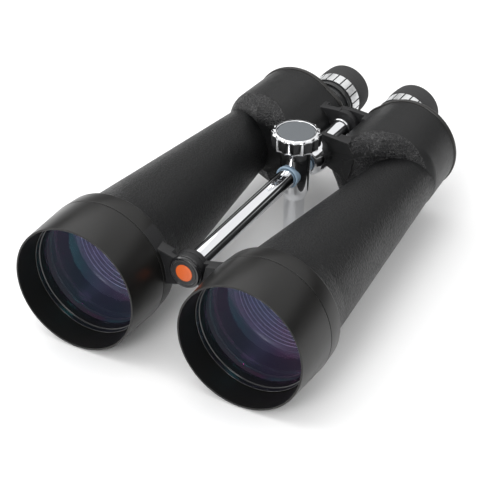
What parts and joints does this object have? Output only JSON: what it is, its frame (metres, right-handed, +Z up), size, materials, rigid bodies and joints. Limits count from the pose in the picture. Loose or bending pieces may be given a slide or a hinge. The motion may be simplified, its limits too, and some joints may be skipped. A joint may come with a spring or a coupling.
{
  "type": "astronomy binoculars",
  "caption": "Giant Porro-prism binoculars with long tapered tubes on a central hinge, and a sliding chrome tripod post.",
  "frame": {"origin": "bottom centre of the bounding box, on the plane the object rests on, under the hinge axis at mid-length", "axes": "+X to the right, +Y from the objectives to the eyepieces, +Z up; the hinge axis runs along Y"},
  "size_m": [0.2666, 0.394, 0.114],
  "materials": {
    "hood_satin_black": "cast, satin black paint, smooth",
    "tube_grained_black": "cast, with a matte black covering of a fine leather grain",
    "housing_black": "cast, with a soft matte black covering, wrinkled on the front shoulder",
    "cover_black": "satin black",
    "inner_matt_black": "matt black anodised",
    "ring_gloss_black": "glossy black",
    "objective_glass": "polished, purple and green anti-reflection coating",
    "clear_glass": "polished",
    "chrome_plate": "polished chrome plate",
    "bright_steel": "bright drawn steel",
    "focus_silver": "bright turned and fluted",
    "barrel_grey": "dark grey anodised",
    "eyecup_rubber": "matt, dusty dark grey",
    "bush_nylon": "blue-grey nylon",
    "insert_brass": "plain turned",
    "disc_grey": "plain mid grey",
    "disc_orange": "plain orange"
  },
  "bodies": {
    "hinge": {"hinge_rod": "chrome_plate", "hinge_cap": "ring_gloss_black", "cap_disc": "disc_orange", "rear_collar": "chrome_plate", "rear_spacer": "bright_steel", "hinge_nut": "ring_gloss_black"},
    "right_half": {"right_lens_hood": "hood_satin_black", "right_objective_tube": "tube_grained_black", "right_objective_cell": "inner_matt_black", "right_retaining_ring": "ring_gloss_black", "right_crown_lens": "objective_glass", "right_lens_spacer": "inner_matt_black", "right_flint_lens": "clear_glass", "right_tube_baffle": "inner_matt_black", "right_prism_housing": "housing_black", "right_rear_cover": "cover_black", "right_prism_shelf": "inner_matt_black", "right_rear_prism": "clear_glass", "right_front_prism": "clear_glass", "right_rear_prism_clip": "bright_steel", "right_front_prism_clip": "bright_steel", "right_eyepiece_tube": "barrel_grey"},
    "right_eyepiece": {"right_eyepiece_carrier": "inner_matt_black", "right_field_lens": "clear_glass", "right_eye_lens": "objective_glass", "right_eye_lens_ring": "inner_matt_black"},
    "right_focus": {"right_focus_ring": "focus_silver", "right_eyecup": "eyecup_rubber"},
    "left_half": {"left_lens_hood": "hood_satin_black", "left_objective_tube": "tube_grained_black", "left_objective_cell": "inner_matt_black", "left_retaining_ring": "ring_gloss_black", "left_crown_lens": "objective_glass", "left_lens_spacer": "inner_matt_black", "left_flint_lens": "clear_glass", "left_tube_baffle": "inner_matt_black", "left_prism_housing": "housing_black", "left_rear_cover": "cover_black", "left_prism_shelf": "inner_matt_black", "left_rear_prism": "clear_glass", "left_front_prism": "clear_glass", "left_rear_prism_clip": "bright_steel", "left_front_prism_clip": "bright_steel", "left_eyepiece_tube": "barrel_grey"},
    "left_eyepiece": {"left_eyepiece_carrier": "inner_matt_black", "left_field_lens": "clear_glass", "left_eye_lens": "objective_glass", "left_eye_lens_ring": "inner_matt_black"},
    "left_focus": {"left_focus_ring": "focus_silver", "left_eyecup": "eyecup_rubber"},
    "post_bush": {"rod_bush": "bush_nylon"},
    "post": {"tripod_post": "chrome_plate", "thread_insert": "insert_brass"},
    "clamp_shoe_body": {"clamp_shoe": "insert_brass"},
    "knob": {"clamp_knob": "chrome_plate", "knob_disc": "disc_grey"}
  },
  "joints": [
    {"name": "left_fold", "type": "hinge", "parent": "hinge", "child": "left_half", "pos_m": [0, 0, 0.07461], "axis": [0, 1, 0], "range_deg": [-27, 2.6]},
    {"name": "right_fold", "type": "hinge", "parent": "hinge", "child": "right_half", "pos_m": [0, 0, 0.07461], "axis": [0, 1, 0], "range_deg": [-2.6, 27]},
    {"name": "right_focus_travel", "type": "slide", "parent": "right_half", "child": "right_eyepiece", "axis": [0, 1, 0], "range_m": [-0.004, 0.004]},
    {"name": "right_focus_turn", "type": "hinge", "parent": "right_eyepiece", "child": "right_focus", "pos_m": [0.03566, 0.17, 0.06638], "axis": [0, 1, 0], "range_deg": [-119, 119]},
    {"name": "left_focus_travel", "type": "slide", "parent": "left_half", "child": "left_eyepiece", "axis": [0, 1, 0], "range_m": [-0.004, 0.004]},
    {"name": "left_focus_turn", "type": "hinge", "parent": "left_eyepiece", "child": "left_focus", "pos_m": [-0.03566, 0.17, 0.06638], "axis": [0, 1, 0], "range_deg": [-119, 119]},
    {"name": "post_slide", "type": "slide", "parent": "hinge", "child": "post_bush", "axis": [0, 1, 0], "range_m": [-0.142, 0.0015]},
    {"name": "post_swing", "type": "hinge", "parent": "post_bush", "child": "post", "pos_m": [0, 0.0314, 0.07461], "axis": [0, 1, 0], "range_deg": [-3, 3]},
    {"name": "shoe_lift", "type": "slide", "parent": "post", "child": "clamp_shoe_body", "axis": [0, 0, 1], "range_m": [0, 0.003]},
    {"name": "knob_turn", "type": "hinge", "parent": "clamp_shoe_body", "child": "knob", "pos_m": [0, 0.0314, 0.1], "axis": [0, 0, 1], "range_deg": [0, 720]}
  ],
  "couplings": [
    {"joint": "right_fold", "follows": "left_fold", "ratio": -1},
    {"joint": "right_focus_travel", "follows": "right_focus_turn", "m_per_rad": 0.0019099},
    {"joint": "left_focus_travel", "follows": "left_focus_turn", "m_per_rad": 0.0019099},
    {"joint": "knob_turn", "follows": "shoe_lift", "rad_per_m": 4188.8}
  ]
}
